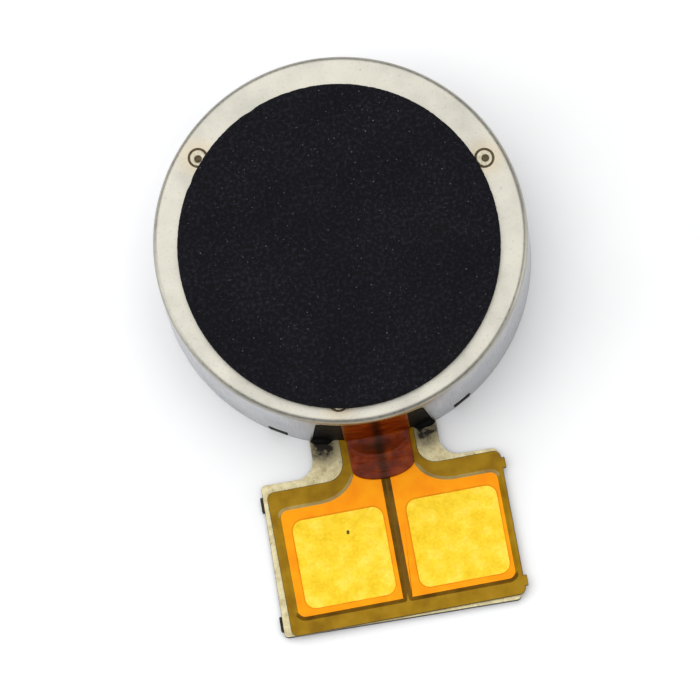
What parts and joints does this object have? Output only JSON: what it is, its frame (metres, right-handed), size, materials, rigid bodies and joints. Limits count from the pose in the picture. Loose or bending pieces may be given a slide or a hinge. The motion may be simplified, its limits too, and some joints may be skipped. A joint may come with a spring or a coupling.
{
  "type": "vibration coin motor",
  "caption": "Flat round sealed coin vibration motor, 10 mm by 3 mm, with a foam pad on its roof and a flex tail with gold contact pads on a steel tab.",
  "frame": {"origin": "centre of the base plate's underside, on the can's axis", "axes": "+Z along the can's axis, out through the roof; the flex tail and its tab leave towards -Y; +X is to the right when the contact pads face the viewer with the can above them"},
  "size_m": [0.01, 0.0149, 0.0033],
  "materials": {
    "can_steel": "matt drawn stainless steel",
    "plate_steel": "rolled stainless sheet with a faint warm tint",
    "weld_steel": "laser-melted steel, ringed and slightly dark",
    "film_glue": "clear amber adhesive film",
    "polyimide": "amber polyimide film",
    "copper": "etched copper foil",
    "coverlay": "polyimide coverlay, semi-gloss",
    "gold": "satin gold plating",
    "solder": "bright solder",
    "magnet_wire": "enamelled copper wire, bonded",
    "damper_rubber": "matt black rubber",
    "spring_steel": "bright spring steel",
    "black_glue": "cured black adhesive",
    "red_resin": "dark red-brown glossy resin",
    "tape": "black double-sided tape",
    "foam": "black fine-celled foam",
    "yoke_steel": "nickel-plated soft steel",
    "magnet_nickel": "nickel-plated sintered magnet",
    "tungsten": "sintered tungsten alloy, grey"
  },
  "bodies": {
    "housing": {"case": "can_steel", "base_plate": "plate_steel", "spring_welds": "weld_steel", "seam_welds": "weld_steel", "fpc_adhesive": "film_glue", "fpc_base_film": "polyimide", "copper_trace_left": "copper", "copper_trace_right": "copper", "coverlay": "coverlay", "contact_pad_left": "gold", "contact_pad_right": "gold", "solder_joint_left": "solder", "solder_joint_right": "solder", "coil_adhesive": "film_glue", "voice_coil": "magnet_wire", "coil_lead_left": "magnet_wire", "coil_lead_right": "magnet_wire", "lower_damper": "damper_rubber", "upper_damper": "damper_rubber", "leaf_spring": "spring_steel", "notch_seal": "black_glue", "resin_drop": "red_resin", "foam_pad_tape": "tape", "foam_pad": "foam"},
    "moving_mass": {"yoke": "yoke_steel", "magnet": "magnet_nickel", "pole_plate": "yoke_steel", "tungsten_mass": "tungsten", "hub_washer": "yoke_steel", "hub_welds": "weld_steel"}
  },
  "joints": [
    {"name": "mass_stroke", "type": "slide", "parent": "housing", "child": "moving_mass", "axis": [0, 0, 1], "range_m": [-0.0004, 0.0004], "stiffness_N_per_m": 1300, "deforming": ["leaf_spring"]}
  ]
}
